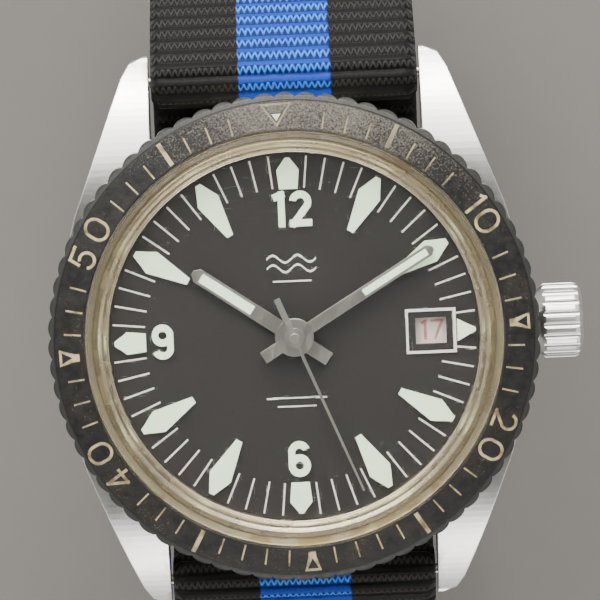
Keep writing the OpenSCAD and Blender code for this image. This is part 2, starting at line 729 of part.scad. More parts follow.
module fourth_wheel() color("gold") {
    gear(80, fourth_m, 1.72, 1.9, 0, centre_at, 0, 4);
    gear(10, 10.8 / 85, 1.9 - eps, 2.32, mate(third_a + 180, 0, 75, 10));
    rod(centre_at, 0.19, bridge_z1 + 0.03, 7.42);
    rod(centre_at, 0.08, bridge_z0 + 0.05, 1.7);
}

// Escape wheel with fifteen raked club teeth
escape_r = 2.2;
module escape_wheel() color("gold") {
    at_case(2.12) translate(concat(escape_at, 0)) linear_extrude(0.15) {
        difference() {
            circle(r = 1.65);
            circle(r = 1.3);
        }
        for (i = [0:14]) rotate([0, 0, 24 * i]) polygon([
            polar(1.6, -5), polar(1.6, 5), polar(2.0, 7), polar(escape_r, 8), polar(escape_r, 5)]);
        for (i = [0:3]) rotate([0, 0, 90 * i]) translate([0, -0.12]) square([1.5, 0.24]);
        circle(r = 0.35, $fn = 24);
    }
    gear(8, fourth_m, 1.68, 1.96, mate(escape_a, 0, 80, 8), escape_at);
    arbor(escape_at, 0.17);
}

// Pallet fork: two pins at the escape wheel and a forked tail at the balance
pallet_arm = 1.75;
module pallet_fork() color("silver") {
    at_case(2.12) translate(concat(pallet_at, 0)) rotate([0, 0, pallet_a]) linear_extrude(0.15) {
        for (s = [-1, 1]) {
            stroke([0, 0], polar(pallet_arm, 180 + 52 * s), 0.3);
            stroke([2.55, s * 0.14], [3.0, s * 0.2], 0.12);
        }
        stroke([0, 0], [2.5, 0], 0.22);
        stroke([2.5, -0.15], [2.5, 0.15], 0.15);
        circle(r = 0.36, $fn = 24);
    }
    for (s = [-1, 1]) rod(pallet_at + polar(pallet_arm, pallet_a + 180 + 52 * s), 0.1, 2.0, 2.4);
    arbor(pallet_at, 0.15);
}

// Balance: rim, two arms, roller with its impulse pin, and the staff
balance_r = 3.5;
module balance_wheel() color("gold") {
    at_case(1.93) translate(concat(balance_at, 0)) linear_extrude(0.15) {
        difference() {
            circle(r = balance_r);
            circle(r = balance_r - 0.4);
        }
        rotate([0, 0, 40]) translate([-balance_r + 0.2, -0.2]) square([2 * balance_r - 0.4, 0.4]);
    }
    rod(balance_at, 0.9, 2.34, 2.44);
    rod(balance_at + polar(0.62, pallet_a + 180), 0.09, 2.1, 2.36);
    arbor(balance_at, 0.17);
}

module hairspring() color("steelblue") at_case(1.66) translate(concat(balance_at, 0))
    linear_extrude(0.12) spiral_plan(0.2, 1.9, 8, 0.05);

// ---------- Movement: motion work under the dial ----------

module cannon_pinion() color("silver") difference() {
    union() {
        gear(12, 0.15, 4.75, 5.0);
        rod(centre_at, 0.56, 4.75, 7.2);
    }
    rod(centre_at, 0.45, 4, 6.8);
    rod(centre_at, 0.24, 6, 8);
}

module minute_wheel() color("gold") difference() {
    union() {
        gear(36, 0.15, 4.75, 4.95, mate(minute_a, 0, 12, 36), minute_at);
        gear(10, 0.144, 4.95 - eps, 5.3, 0, minute_at);
    }
    rod(minute_at, 0.27, 4, 6);
}

module hour_wheel() color("gold") difference() {
    union() {
        gear(40, 0.144, 5.03, 5.26, mate(minute_a + 180, 0, 10, 40));
        rod(centre_at, 0.82, 5.03, 6.82);
    }
    rod(centre_at, 0.6, 4, 8);
}

// ---------- Crown, stem and keyless work, on an axis along X ----------

module on_stem(x) at_case(stem_z) translate([x, 0, 0]) rotate([0, 90, 0]) children();

crown_x = 17.75;
stem_r = 0.45;
module crown() color("silver") difference() {
    on_stem(crown_x) rotate_extrude() polygon([
        [1.57, 0], [crown_d / 2 - 0.65, 0], [crown_d / 2, 0.75], [crown_d / 2, crown_len - 0.6],
        [crown_d / 2 - 0.12, crown_len - 0.3], [crown_d / 2 - 0.45, crown_len - 0.08],
        [crown_d / 2 - 0.9, crown_len], [0, crown_len], [0, 1.7], [1.57, 1.7]]);
    on_stem(crown_x + 0.2) for (i = [0:crown_flutes - 1]) rotate([0, 0, 360 * i / crown_flutes])
        translate([crown_d / 2 + 0.05, 0, 0]) cylinder(r = 0.23, h = crown_len, $fn = 24);
    on_stem(crown_x) cylinder(r = stem_r + 0.01, h = 2.2);
}

module winding_stem() color("silver") {
    on_stem(7) cylinder(r = stem_r, h = crown_x + 2.15 - 7);
    on_stem(7.8) intersection() {
        cylinder(r = 0.56, h = 1.2);
        translate([-0.45, -0.45, 0]) cube([0.9, 0.9, 1.2]);
    }
}

module winding_pinion() color("silver") on_stem(10) difference() {
    union() {
        linear_extrude(0.9) gear_plan(14, 0.13, 4);
        cylinder(r = 0.7, h = 1.3);
    }
    translate([0, 0, -1]) cylinder(r = stem_r + 0.02, h = 4);
}

module sliding_pinion() color("silver") on_stem(8) difference() {
    union() {
        linear_extrude(0.4) gear_plan(12, 0.13);
        cylinder(r = 0.62, h = 1.6);
        translate([0, 0, 1.1]) cylinder(r = 0.85, h = 0.5);
    }
    translate([0, 0, -1]) cylinder(r = 0.6, h = 4);
}

// ---------- Strap ----------

// The centre line of the strap in Y and Z is a chain of [radius, turn] bends and [length, 0] runs
pin_r = 0.75;
wrap_r = pin_r + 0.05 + strap_t / 2;
layer = strap_t + 0.15;
pin_y = 1;
keeper_gap = 0.16;
keeper_t = 1.04;
pin_z = layer + keeper_gap + wrap_r + strap_t / 2 + keeper_t;
flat_z = pin_z - wrap_r;
tail_z = flat_z - layer;
flat_half = 10;
corner_r = strap_t / 2 + 0.6;
lean = 48;
bar_wrap_r = bar_r + 0.06 + strap_t / 2;
under_z = lift - 0.15 - strap_t / 2;
side_y = bar_y + bar_wrap_r * sin(lean) + side_bend_r * (1 - sin(lean));
low_bend_r = side_y - flat_half;
side_run = lift + bar_z + bar_wrap_r * cos(lean) - side_bend_r * cos(lean) - flat_z - low_bend_r;
drop_r = bar_z + 0.15 + strap_t / 2 - corner_r;
dip = 8;
dip_r = 10;
dip_run = (layer - 2 * dip_r * (1 - cos(dip))) / sin(dip);
dip_y = 2 * dip_r * sin(dip) + dip_run * cos(dip);

side_up = [[side_bend_r, 90 - lean], [bar_wrap_r, 90 + lean], [drop_r, 0], [corner_r, -90]];
side_down = [for (i = [3:-1:0]) side_up[i]];
strap_main = concat([[low_bend_r, 90], [side_run, 0]], side_up,
    [[2 * (bar_y - bar_wrap_r - corner_r), 0]], side_down, [[side_run, 0], [low_bend_r, 90]]);
strap_tail = [[dip_r, -dip], [dip_run, 0], [dip_r, dip], [2 * flat_half - dip_y, 0],
    [low_bend_r + layer, 90], [side_run, 0],
    [side_bend_r + layer, max(2, (tail_len - 9 - 1.57 * (low_bend_r + layer) - side_run) / 0.6)]];

function unit(a) = [cos(a), sin(a)];
bend_step = 7.5;
function pieces(s) = s[1] == 0 ? 1 : ceil(abs(s[1]) / bend_step);
function chord(s) = s[1] == 0 ? s[0] : 2 * s[0] * sin(abs(s[1]) / pieces(s) / 2);
function small_steps(segs) = [for (s = segs) for (k = [1:pieces(s)]) [chord(s), s[1] / pieces(s)]];
function move(at, step) = [at[0] + step[0] * unit(at[1] + step[1] / 2), at[1] + step[1]];
function walk(steps, at, i = 0) = i == len(steps) ? [at]
    : concat([at], walk(steps, move(at, steps[i]), i + 1));

// Outline on both sides of a walked centre line
function band(line, t) = concat(
    [for (p = line) p[0] + t / 2 * unit(p[1] + 90)],
    [for (i = [len(line) - 1:-1:0]) line[i][0] - t / 2 * unit(line[i][1] + 90)]);

strap_flat_start = [[flat_half, flat_z], 0];
strap_line = walk(small_steps(concat(strap_main, strap_tail)), strap_flat_start);
fold_line = walk(small_steps([[wrap_r, -168], [3.2, 0], [6, -12], [9, 0]]), [[pin_y, flat_z], 180]);

module across(w) rotate([90, 0, 90]) translate([0, 0, -w / 2]) linear_extrude(w) children();

tongue_w = 1.8;
module strap() color([0.08, 0.08, 0.1]) difference() {
    union() {
        across(strap_w) polygon(band(strap_line, strap_t));
        across(strap_w) polygon(band(fold_line, strap_t));
        across(strap_w) translate([pin_y, flat_z - strap_t / 2]) square([flat_half - pin_y + 0.02, strap_t]);
    }
    // Slot at the pin for the tongue, and the hole that the tongue goes through
    translate([-tongue_w / 2 - 0.2, pin_y - 4, flat_z - strap_t / 2 - 0.05])
        cube([tongue_w + 0.4, 6, 2 * wrap_r + strap_t + 0.1]);
    translate([-tongue_w / 2 - 0.2, pin_y - 6.2, tail_z - 1]) cube([tongue_w + 0.4, 4.4, 3.2]);
}

// ---------- Buckle ----------

frame_bar_y = -9.2;
frame_bar_r = 1.05;
frame_bar_z = frame_bar_r;
frame_in = strap_w / 2 + 0.3;
side_t = 1.6;
module buckle_frame() color("silver") difference() {
    union() {
        translate([-frame_in - side_t, frame_bar_y, frame_bar_z]) rotate([0, 90, 0])
            cylinder(r = frame_bar_r, h = 2 * (frame_in + side_t));
        for (s = [-1, 1]) translate([s * (frame_in + side_t / 2), 0, 0]) across(side_t) {
            polygon([[frame_bar_y, 0], [pin_y + 0.4, pin_z - 1.2], [pin_y, pin_z + 1.2],
                [frame_bar_y, 2 * frame_bar_r]]);
            translate([pin_y, pin_z]) circle(r = 1.3, $fn = 32);
            translate([frame_bar_y, frame_bar_z]) circle(r = frame_bar_r, $fn = 32);
        }
    }
    translate([-tongue_w / 2 - 0.3, frame_bar_y - 2, -0.1]) cube([tongue_w + 0.6, 4, 1.3]);
    translate([-20, pin_y, pin_z]) rotate([0, 90, 0]) cylinder(r = pin_r + 0.02, h = 40);
}

module buckle_pin() color("silver") translate([-frame_in - side_t, pin_y, pin_z]) rotate([0, 90, 0])
    cylinder(r = pin_r, h = 2 * (frame_in + side_t));

module buckle_tongue() color("silver") difference() {
    union() {
        translate([-tongue_w / 2, pin_y, pin_z]) rotate([0, 90, 0]) cylinder(r = 1.4, h = tongue_w, $fn = 32);
        across(tongue_w) polygon([[pin_y, pin_z + 1], [pin_y, pin_z - 1], [pin_y - 2.3, pin_z - 1.5],
            [pin_y - 4.3, 0.45], [frame_bar_y - 0.6, 0.05], [frame_bar_y - 1.1, 0.3],
            [frame_bar_y - 0.9, 0.75], [pin_y - 4.8, 1.3], [pin_y - 3.2, pin_z - 0.4]]);
    }
    translate([-20, pin_y, pin_z]) rotate([0, 90, 0]) cylinder(r = pin_r + 0.05, h = 40);
}

// Flat steel rings that hold the tail: one on the straight, one on the lower bend
keeper_w = 4;
module keeper_section() difference() {
    half = strap_w / 2 + 0.15;
    low = -layer - strap_t / 2 - keeper_gap;
    high = strap_t / 2 + keeper_gap;
    translate([-half - keeper_t, low - keeper_t]) square([2 * (half + keeper_t), high - low + 2 * keeper_t]);
    translate([-half, low]) square([2 * half, high - low]);
}

module keeper(y) translate([0, y, flat_z]) rotate([90, 0, 0]) translate([0, 0, -keeper_w / 2])
    linear_extrude(keeper_w) keeper_section();

module keeper_rings() color("silver") {
    keeper(7.4);
    for (a = [58]) translate([0, flat_half, flat_z + low_bend_r]) rotate([a, 0, 0])
        translate([0, -flat_half, -flat_z - low_bend_r]) keeper(flat_half);
}

case_middle();
case_back();
case_back_gasket();
crown_tube();
crystal();
tension_ring();
movement_ring();
spring_bars();
bezel_ring();
bezel_markings();
bezel_pip();
bezel_spring();
dial();
date_frame();
date_bevel();
dial_indices();
dial_numerals();
minute_track();
dial_printing();
date_ring();
date_numerals();
date_jumper();
hour_hand();
hour_hand_lume();
minute_hand();
minute_hand_lume();
second_hand();
main_plate();
barrel_bridge();
train_bridge();
balance_cock();
jewels();
bridge_screws();
barrel_drum();
barrel_cover();
mainspring();
barrel_arbor();
ratchet_wheel();
crown_wheel();
click();
centre_wheel();
third_wheel();
fourth_wheel();
escape_wheel();
pallet_fork();
balance_wheel();
hairspring();
cannon_pinion();
minute_wheel();
hour_wheel();
crown();
crown_gasket();
winding_stem();
winding_pinion();
sliding_pinion();
strap();
buckle_frame();
buckle_pin();
buckle_tongue();
keeper_rings();
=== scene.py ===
"""The looks of a mechanical dive watch on a ribbed nylon strap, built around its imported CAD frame."""
import json
import math

import bpy
import numpy as np
from mathutils import Matrix, Vector


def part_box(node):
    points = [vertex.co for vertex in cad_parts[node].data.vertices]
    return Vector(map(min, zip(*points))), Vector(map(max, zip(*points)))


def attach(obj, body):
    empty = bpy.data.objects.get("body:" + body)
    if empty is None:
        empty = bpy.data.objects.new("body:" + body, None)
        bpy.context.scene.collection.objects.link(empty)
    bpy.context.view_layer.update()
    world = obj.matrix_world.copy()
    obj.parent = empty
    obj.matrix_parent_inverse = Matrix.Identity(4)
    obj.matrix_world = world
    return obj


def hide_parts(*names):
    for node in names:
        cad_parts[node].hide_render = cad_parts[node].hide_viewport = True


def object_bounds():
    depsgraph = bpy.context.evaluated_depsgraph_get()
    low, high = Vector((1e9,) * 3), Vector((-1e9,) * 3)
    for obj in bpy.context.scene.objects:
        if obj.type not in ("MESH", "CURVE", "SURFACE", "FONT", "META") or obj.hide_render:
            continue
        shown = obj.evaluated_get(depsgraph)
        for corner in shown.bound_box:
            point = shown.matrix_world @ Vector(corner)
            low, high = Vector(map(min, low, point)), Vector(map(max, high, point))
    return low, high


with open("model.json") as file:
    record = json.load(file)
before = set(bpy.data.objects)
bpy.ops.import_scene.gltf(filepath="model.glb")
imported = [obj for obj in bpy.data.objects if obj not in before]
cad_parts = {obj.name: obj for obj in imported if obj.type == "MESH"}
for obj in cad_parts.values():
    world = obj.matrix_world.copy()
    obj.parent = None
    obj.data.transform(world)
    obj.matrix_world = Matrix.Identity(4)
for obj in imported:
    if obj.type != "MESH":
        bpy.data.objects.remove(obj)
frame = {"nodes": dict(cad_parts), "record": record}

MM = 0.001
CAD_BOX = [list(v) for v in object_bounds()]
FLOOR_Z = CAD_BOX[0][2]
NODES = frame["nodes"]
BODY_OF = {n: b for b, names in frame["record"]["behaviour"]["bodies"].items() for n in names}
SLOT_OF = {s["node"]: s["material_slot"] for s in frame["record"]["subparts"]}


def middle(node):
    """The centre of a node's box."""
    low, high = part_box(node)
    return (Vector(low) + Vector(high)) / 2


def size(node):
    """The three sides of a node's box."""
    low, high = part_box(node)
    return Vector(high) - Vector(low)


# ---------- Camera, floor and lights ----------

TILT = math.radians(7.5)          # the camera leans towards 12 o'clock
ROLL = math.radians(2.4)          # the watch lies turned by this much in the view
CAMERA_DISTANCE = 0.29
VIEW_WIDTH = 0.0438               # width of the view at the bezel
OFF_LEFT = 0.40 * MM              # the dial's centre lies left of the view's centre
OFF_DOWN = 2.8 * MM               # and below it
SENSOR = 36.0
LAMP_AIM = Vector((0, 0, 45 * MM))
LAMP_DISTANCE = 0.60
LAMP_WHITE = (1.0, 0.98, 0.95)


def make_camera():
    """A long lens over the dial, slightly above 12 o'clock."""
    back = Vector((0, math.sin(TILT), math.cos(TILT)))
    up = Vector((0, math.cos(TILT), -math.sin(TILT)))
    right = up.cross(back)
    turn = Matrix.Rotation(-ROLL, 3, back)
    right, up = turn @ right, turn @ up
    bezel = middle("bezel_ring")
    target = Vector((0, 0, bezel.z)) + right * OFF_LEFT + up * OFF_DOWN
    data = bpy.data.cameras.new("camera")
    data.sensor_width = SENSOR
    data.lens = SENSOR * CAMERA_DISTANCE / VIEW_WIDTH
    data.clip_start = 0.01
    data.clip_end = 20
    camera = bpy.data.objects.new("camera", data)
    basis = Matrix((right, up, back)).transposed().to_4x4()
    camera.matrix_world = Matrix.Translation(target + back * CAMERA_DISTANCE) @ basis
    bpy.context.scene.collection.objects.link(camera)
    bpy.context.scene.camera = camera


def area_light(name, place, wide, high, power, colour=(1, 1, 1)):
    """A rectangular lamp that faces the dial."""
    data = bpy.data.lights.new(name, "AREA")
    data.shape = "RECTANGLE"
    data.size = wide
    data.size_y = high
    data.energy = power
    data.color = colour
    lamp = bpy.data.objects.new(name, data)
    lamp.location = place
    lamp.rotation_euler = (LAMP_AIM - Vector(place)).to_track_quat("-Z", "Y").to_euler()
    bpy.context.scene.collection.objects.link(lamp)


def make_lights():
    """A low window beyond 12 o'clock, a dim box over it, a fill, and a room that is dark overhead."""
    for name, aside, lean, wide, high, power in (("top_box", -0.10, 38, 0.70, 0.32, 2.6),
                                                 ("window", -0.12, 66, 0.62, 0.22, 7.5)):
        a = math.radians(lean)
        place = LAMP_AIM + LAMP_DISTANCE * Vector((aside, math.sin(a), math.cos(a)))
        area_light(name, place, wide, high, power, LAMP_WHITE)
    area_light("low_box", (0.05, -0.55, 0.30), 0.62, 0.30, 1.7)
    world = bpy.data.worlds.new("studio")
    world.use_nodes = True
    nodes, links = world.node_tree.nodes, world.node_tree.links
    parts = nodes.new("ShaderNodeSeparateXYZ")
    links.new(nodes.new("ShaderNodeTexCoord").outputs["Generated"], parts.inputs[0])
    room = nodes.new("ShaderNodeMapRange")
    room.interpolation_type = "SMOOTHSTEP"
    from_up, to_up, bright, dark = 0.62, 0.88, 1.15, 0.10
    for socket, value in zip(room.inputs[1:5], (from_up, to_up, bright, dark)):
        socket.default_value = value
    links.new(parts.outputs[2], room.inputs[0])
    shade = nodes["Background"]
    shade.inputs["Color"].default_value = (1.0, 0.965, 0.92, 1)
    links.new(room.outputs[0], shade.inputs["Strength"])
    bpy.context.scene.world = world


# ---------- Material helpers ----------

class Paint:
    """One node material. Each helper adds a node and returns its output."""

    def __init__(self, name, **principled):
        self.material = bpy.data.materials.new(name)
        self.material.use_nodes = True
        self.tree = self.material.node_tree
        self.bsdf = self.tree.nodes["Principled BSDF"]
        for key, value in principled.items():
            self.bsdf.inputs[key.replace("_", " ")].default_value = value
        self.place = self.node("ShaderNodeTexCoord").outputs["Object"]

    def node(self, kind, **settings):
        made = self.tree.nodes.new(kind)
        for key, value in settings.items():
            setattr(made, key, value)
        return made

    def put(self, socket, value):
        if isinstance(value, bpy.types.NodeSocket):
            self.tree.links.new(value, socket)
        else:
            socket.default_value = value

    def math(self, operation, a, b=0.0, c=0.0):
        made = self.node("ShaderNodeMath", operation=operation)
        for socket, value in zip(made.inputs, (a, b, c)):
            self.put(socket, value)
        return made.outputs[0]

    def noise(self, scale, detail=2.0, stretch=(1, 1, 1), seed=0.0):
        """Noise with features about 1/scale metres across, drawn out along an axis by stretch."""
        moved = self.node("ShaderNodeMapping")
        moved.inputs["Scale"].default_value = stretch
        moved.inputs["Location"].default_value = (seed, seed, seed)
        self.put(moved.inputs["Vector"], self.place)
        made = self.node("ShaderNodeTexNoise")
        self.put(made.inputs["Vector"], moved.outputs[0])
        made.inputs["Scale"].default_value = scale
        made.inputs["Detail"].default_value = detail
        return made.outputs[0]

    def fit(self, value, low, high, to_low=0.0, to_high=1.0):
        made = self.node("ShaderNodeMapRange")
        for socket, v in zip(made.inputs, (value, low, high, to_low, to_high)):
            self.put(socket, v)
        return made.outputs[0]

    def mix(self, factor, a, b):
        made = self.node("ShaderNodeMix", data_type="RGBA")
        self.put(made.inputs[0], factor)
        for socket, value in ((made.inputs[6], a), (made.inputs[7], b)):
            self.put(socket, value if isinstance(value, bpy.types.NodeSocket) else (*value, 1.0))
        return made.outputs[2]

    def axes(self):
        """The X, Y and Z of the point, in metres."""
        made = self.node("ShaderNodeSeparateXYZ")
        self.put(made.inputs[0], self.place)
        return made.outputs

    def radius(self):
        """Distance from the dial's axis, in metres."""
        x, y, _ = self.axes()
        squares = self.math("ADD", self.math("MULTIPLY", x, x), self.math("MULTIPLY", y, y))
        return self.math("SQRT", squares)

    def towards_12(self, low, high):
        """Rises from 0 to 1 towards 12 o'clock, leaning a little to the crown's side."""
        x, y, _ = self.axes()
        return self.fit(self.math("ADD", y, self.math("MULTIPLY", x, 0.12)), low, high)

    def colour(self, value):
        self.put(self.bsdf.inputs["Base Color"], value)

    def rough(self, value):
        self.put(self.bsdf.inputs["Roughness"], value)

    def bump(self, height, depth, strength=1.0, bevel=0.0):
        """Relief of a height from 0 to 1, depth metres deep, over edges rounded by bevel metres."""
        made = self.node("ShaderNodeBump")
        made.inputs["Strength"].default_value = strength
        made.inputs["Distance"].default_value = depth
        self.put(made.inputs["Height"], height)
        if bevel:
            rounded = self.node("ShaderNodeBevel", samples=6)
            rounded.inputs["Radius"].default_value = bevel
            self.put(made.inputs["Normal"], rounded.outputs[0])
        self.put(self.bsdf.inputs["Normal"], made.outputs[0])


# ---------- Materials, one function for each slot ----------

def steel_polished():
    """Once polished steel, now satin with hairlines, and stained brassy on the case between the lugs."""
    p = Paint("steel_polished", Metallic=1.0)
    hair = p.noise(900, 4, (1, 14, 1))
    dull = p.noise(260, 3, seed=2.0)
    x, _, z = p.axes()
    inner = p.fit(p.math("ABSOLUTE", x), 10.5 * MM, 10.1 * MM)
    bar_z = middle("spring_bars").z
    on_case = p.fit(z, bar_z - 4 * MM, bar_z - 3 * MM)
    spots = p.math("MULTIPLY", inner, p.fit(p.noise(700, 3, seed=7.0), 0.50, 0.60))
    spots = p.math("MULTIPLY", spots, on_case)
    steel = p.mix(p.fit(dull, 0.35, 0.7), (0.92, 0.91, 0.885), (0.84, 0.83, 0.80))
    p.colour(p.mix(p.math("MULTIPLY", spots, 0.7), steel, (0.55, 0.42, 0.20)))
    p.rough(p.fit(p.math("ADD", p.math("MULTIPLY", hair, 0.5), dull), 0.5, 1.05, 0.26, 0.42))
    p.bump(p.math("ADD", hair, p.noise(5000, 2, (1, 0.08, 1), 5.0)), 0.004 * MM, 0.5, 0.12 * MM)
    return p.material


def steel_brushed():
    """Brushed steel of the case back, the spring bars and the steel parts inside."""
    p = Paint("steel_brushed", Metallic=1.0)
    grain = p.noise(2500, 5, (1, 0.06, 1))
    p.colour(p.mix(grain, (0.60, 0.59, 0.57), (0.48, 0.47, 0.455)))
    p.rough(p.fit(grain, 0.3, 0.7, 0.24, 0.42))
    p.bump(grain, 0.006 * MM, 0.6, 0.06 * MM)
    return p.material


def bezel_black():
    """Black finish rubbed to grey metal in specks, with a painted sheen of the same grey towards 12 o'clock
    and painted shade in the channel inside the grip.
    """
    p = Paint("bezel_black", Coat_Weight=0.12, Coat_Roughness=0.25)
    r = p.radius()
    side = p.towards_12(10 * MM, 17 * MM)
    grip = p.fit(r, 17.45 * MM, 17.6 * MM)
    # Painted shade: a near-black line in the channel between the grip and the slope, where shade falls.
    groove_shade = p.fit(p.math("ABSOLUTE", p.math("SUBTRACT", r, 17.50 * MM)), 0.02 * MM, 0.10 * MM)
    grit = p.noise(7500, 5, seed=3.0)
    patch = p.noise(300, 4, seed=9.0)
    # Painted sheen: side adds grey towards 12 o'clock, where the light falls; the patches and grit give
    # real specks of bare metal.
    patches_and_sheen = p.math("ADD", p.math("MULTIPLY", patch, 0.30), p.math("MULTIPLY", side, 0.30))
    wear_and_sheen = p.fit(p.math("ADD", grit, patches_and_sheen), 0.77, 1.10)
    wear_and_sheen = p.math("MULTIPLY", wear_and_sheen, p.math("SUBTRACT", 1.0, p.math("MULTIPLY", grip, 0.75)))
    brown = p.mix(p.fit(patch, 0.45, 0.65), (0.0080, 0.0074, 0.0070), (0.017, 0.0140, 0.0105))
    grips = p.mix(grip, brown, (0.020, 0.021, 0.019))
    # The grey (0.20, 0.185, 0.155) is real bare metal in the specks and painted sheen towards 12 o'clock.
    body = p.mix(wear_and_sheen, grips, (0.20, 0.185, 0.155))
    # Painted shade: near-black (0.002) in the channel inside the grip.
    p.colour(p.mix(groove_shade, (0.002, 0.002, 0.002), body))
    p.rough(p.fit(p.noise(1500, 4), 0.3, 0.7, 0.36, 0.58))
    p.put(p.bsdf.inputs["Metallic"], p.math("MULTIPLY", wear_and_sheen, 0.4))
    pits = p.math("SUBTRACT", p.noise(2600, 6, seed=1.0), p.math("MULTIPLY", wear_and_sheen, 0.4))
    p.bump(pits, 0.035 * MM, 0.5, 0.12 * MM)
    return p.material


def engraving_gold():
    """Old gold paint in the engraving, dirty in places, with a painted sheen of grey towards 12 o'clock."""
    p = Paint("engraving_gold")
    side = p.towards_12(13 * MM, 16.5 * MM)
    dirt = p.fit(p.noise(1100, 5), 0.42, 0.66)
    gold = p.mix(dirt, (0.56, 0.46, 0.25), (0.16, 0.12, 0.055))
    # Painted sheen: the gold turns grey towards 12 o'clock, where the light falls, as on the bezel.
    p.colour(p.mix(p.math("MULTIPLY", side, 0.75), gold, (0.19, 0.175, 0.14)))
    p.rough(p.fit(dirt, 0, 1, 0.45, 0.7))
    p.bump(p.noise(4000, 3), 0.03 * MM, 0.6)
    return p.material


def lume():
    """Aged luminous paint: pale green, slightly grainy, a touch darker at random."""
    p = Paint("lume", Subsurface_Weight=0.0)
    age = p.noise(700, 4)
    p.colour(p.mix(p.fit(age, 0.35, 0.7), (0.80, 1.0, 0.74), (0.73, 0.93, 0.67)))
    p.rough(p.fit(age, 0, 1, 0.5, 0.75))
    p.bump(p.noise(9000, 3), 0.012 * MM, 0.6, 0.03 * MM)
    return p.material


def acrylic():
    """Clear plastic, yellowed and scuffed at its rim. Lamps shine straight through it onto the dial."""
    p = Paint("acrylic", IOR=1.49, Transmission_Weight=1.0)
    rim = p.fit(p.radius(), 14.25 * MM, 14.75 * MM)
    p.colour(p.mix(rim, (0.985, 0.985, 0.975), (0.95, 0.87, 0.66)))
    fine = p.noise(500, 2, (1, 26, 1), 1.0)
    other = p.noise(500, 2, (22, 1, 1), 4.0)
    lines = p.fit(p.math("MAXIMUM", fine, other), 0.69, 0.73)
    p.rough(p.fit(p.math("ADD", rim, p.math("MULTIPLY", lines, 0.12)), 0.0, 1.0, 0.015, 0.22))
    p.bump(lines, 0.004 * MM, 0.35)
    clear = p.node("ShaderNodeBsdfTransparent")
    path = p.node("ShaderNodeLightPath")
    mixed = p.node("ShaderNodeMixShader")
    p.put(mixed.inputs[0], path.outputs["Is Shadow Ray"])
    p.put(mixed.inputs[1], p.bsdf.outputs[0])
    p.put(mixed.inputs[2], clear.outputs[0])
    p.put(p.tree.nodes["Material Output"].inputs["Surface"], mixed.outputs[0])
    return p.material


def ring_gold():
    """Pale gold metal, turned on a lathe, so fine rings run around it."""
    p = Paint("ring_gold", Metallic=1.0)
    r = p.radius()
    z = p.axes()[2]
    turned = p.math("SINE", p.math("MULTIPLY", p.math("ADD", r, z), 2 * math.pi / (0.16 * MM)))
    dirt = p.noise(500, 3)
    p.colour(p.mix(p.fit(dirt, 0.35, 0.7), (0.84, 0.76, 0.58), (0.66, 0.57, 0.40)))
    p.rough(p.fit(dirt, 0.3, 0.7, 0.18, 0.36))
    p.bump(turned, 0.008 * MM, 0.5)
    return p.material


def dial_dark():
    """Matt black-brown dial paint with a fine grain."""
    p = Paint("dial_dark")
    grain = p.noise(6000, 4)
    tone = p.noise(90, 2, seed=6.0)
    p.colour(p.mix(p.fit(p.math("ADD", p.math("MULTIPLY", grain, 0.5), tone), 0.5, 1.0),
                   (0.0062, 0.0050, 0.0050), (0.0105, 0.0086, 0.0084)))
    p.rough(p.fit(grain, 0.3, 0.7, 0.5, 0.7))
    p.bump(grain, 0.006 * MM, 0.5)
    return p.material


def print_white():
    """Off-white of the dial printing and the date frame, a little thin in places."""
    p = Paint("print_white")
    thin = p.noise(3500, 3)
    p.colour(p.mix(p.fit(thin, 0.3, 0.7), (0.78, 0.77, 0.72), (0.60, 0.585, 0.54)))
    p.rough(p.fit(thin, 0, 1, 0.4, 0.6))
    p.bump(thin, 0.004 * MM, 0.4)
    return p.material


def date_disc():
    """Pale, slightly pink date ring."""
    p = Paint("date_disc")
    tone = p.noise(800, 3)
    p.colour(p.mix(p.fit(tone, 0.3, 0.7), (0.90, 0.80, 0.74), (0.82, 0.70, 0.65)))
    p.rough(p.fit(tone, 0, 1, 0.4, 0.55))
    p.bump(p.noise(7000, 2), 0.003 * MM, 0.4)
    return p.material


def date_red():
    """Faded red date numerals."""
    p = Paint("date_red")
    tone = p.noise(4000, 3)
    p.colour(p.mix(p.fit(tone, 0.3, 0.7), (0.52, 0.17, 0.15), (0.70, 0.38, 0.34)))
    p.rough(p.fit(tone, 0, 1, 0.4, 0.6))
    p.bump(tone, 0.002 * MM, 0.4)
    return p.material


def hand_steel():
    """Satin steel of the three hands."""
    p = Paint("hand_steel", Metallic=1.0)
    grain = p.noise(3000, 4, (1, 0.2, 1))
    p.colour(p.mix(grain, (0.56, 0.55, 0.51), (0.44, 0.43, 0.40)))
    p.rough(p.fit(grain, 0.3, 0.7, 0.28, 0.42))
    p.bump(grain, 0.003 * MM, 0.5, 0.05 * MM)
    return p.material


def brass():
    """Brass of the main plate, the wheels and the barrel."""
    p = Paint("brass", Metallic=1.0)
    grain = p.noise(3000, 4, (1, 0.1, 1))
    tone = p.noise(400, 3, seed=4.0)
    p.colour(p.mix(p.fit(tone, 0.35, 0.65), (0.80, 0.62, 0.30), (0.66, 0.49, 0.22)))
    p.rough(p.fit(grain, 0.3, 0.7, 0.2, 0.36))
    p.bump(grain, 0.004 * MM, 0.5, 0.03 * MM)
    return p.material


def ruby():
    """Synthetic ruby of the bearing jewels."""
    p = Paint("ruby", Coat_Weight=0.6, Coat_Roughness=0.05)
    tone = p.noise(3000, 3)
    p.colour(p.mix(tone, (0.62, 0.02, 0.10), (0.42, 0.01, 0.06)))
    p.rough(p.fit(tone, 0, 1, 0.1, 0.2))
    p.bump(tone, 0.001 * MM, 0.3)
    return p.material


def blued_steel():
    """Blued steel of the bridge screws and the hairspring."""
    p = Paint("blued_steel", Metallic=1.0)
    tone = p.noise(1800, 3)
    p.colour(p.mix(tone, (0.05, 0.10, 0.42), (0.10, 0.08, 0.34)))
    p.rough(p.fit(tone, 0, 1, 0.16, 0.3))
    p.bump(tone, 0.002 * MM, 0.4)
    return p.material


